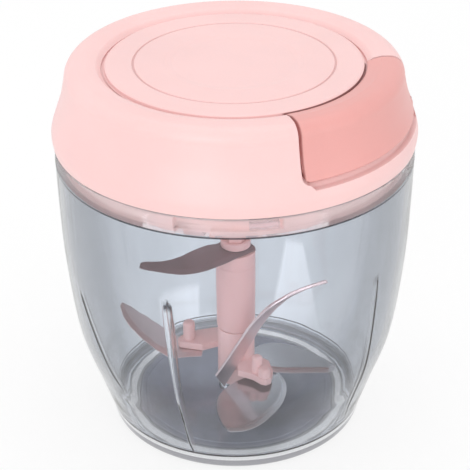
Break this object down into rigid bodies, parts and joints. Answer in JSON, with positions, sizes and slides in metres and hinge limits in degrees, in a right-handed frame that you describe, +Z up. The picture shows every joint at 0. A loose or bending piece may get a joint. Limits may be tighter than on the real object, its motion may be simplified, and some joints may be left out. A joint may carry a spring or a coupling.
{
  "type": "garlic chopper",
  "caption": "Pull-cord garlic chopper: a clear tapering bowl, a twist-lock lid with a flush pull handle and cord spool, and a bladed shaft on a centre pin.",
  "frame": {"origin": "centre of the foot ring's underside, on the surface that the chopper stands on", "axes": "+Z up along the bowl's axis; -Y is the side the picture looks at; the pull handle is towards +X and -Y"},
  "size_m": [0.125, 0.125, 0.137],
  "materials": {
    "clear_plastic": "clear, glossy",
    "pink_plastic": "satin moulded",
    "coral_plastic": "satin moulded",
    "shaft_plastic": "satin moulded",
    "white_plastic": "plain moulded",
    "blade_steel": "polished",
    "dark_blade": "dark satin coat",
    "plain_steel": "plain",
    "brass": "plain",
    "light_silicone": "matte",
    "dark_silicone": "matte",
    "cord": "braided nylon"
  },
  "bodies": {
    "bowl": {"bowl": "clear_plastic", "foot_ring": "light_silicone", "base_pad": "dark_silicone", "centre_pin": "plain_steel"},
    "lid": {"lid_shell": "pink_plastic", "top_cap": "pink_plastic", "base_plate": "pink_plastic", "lid_seal": "light_silicone", "lid_screw_1": "plain_steel", "lid_screw_2": "plain_steel", "lid_screw_3": "plain_steel", "lid_screw_4": "plain_steel", "cover_screw_1": "plain_steel", "cover_screw_2": "plain_steel", "cover_screw_3": "plain_steel", "spring_cover": "white_plastic", "spool_bush": "brass", "spool_axle": "plain_steel", "recoil_spring": "plain_steel", "cord_eyelet": "brass", "pull_cord": "cord"},
    "handle": {"pull_handle": "coral_plastic", "handle_back": "white_plastic", "cord_knot": "cord"},
    "rotor": {"spool": "white_plastic", "drive_socket": "shaft_plastic", "shaft_sleeve": "shaft_plastic", "shaft_collar": "shaft_plastic", "blade_hub": "shaft_plastic", "upper_blade": "dark_blade", "front_blade": "blade_steel", "right_blade": "blade_steel", "left_blade": "blade_steel", "rising_blade": "blade_steel"}
  },
  "joints": [
    {"name": "lid_turn", "type": "hinge", "parent": "bowl", "child": "lid", "pos_m": [0, 0, 0.109], "axis": [0, 0, 1], "range_deg": [0, 22]},
    {"name": "handle_pull", "type": "slide", "parent": "lid", "child": "handle", "axis": [0.8363, -0.5483, 0], "range_m": [0, 0.36], "stiffness_N_per_m": 12, "springref_m": -0.1},
    {"name": "spool_spin", "type": "hinge", "parent": "lid", "child": "rotor", "pos_m": [0, 0, 0.109], "axis": [0, 0, 1], "continuous": true}
  ],
  "couplings": [
    {"joint": "spool_spin", "follows": "handle_pull", "rad_per_m": 50.63}
  ]
}
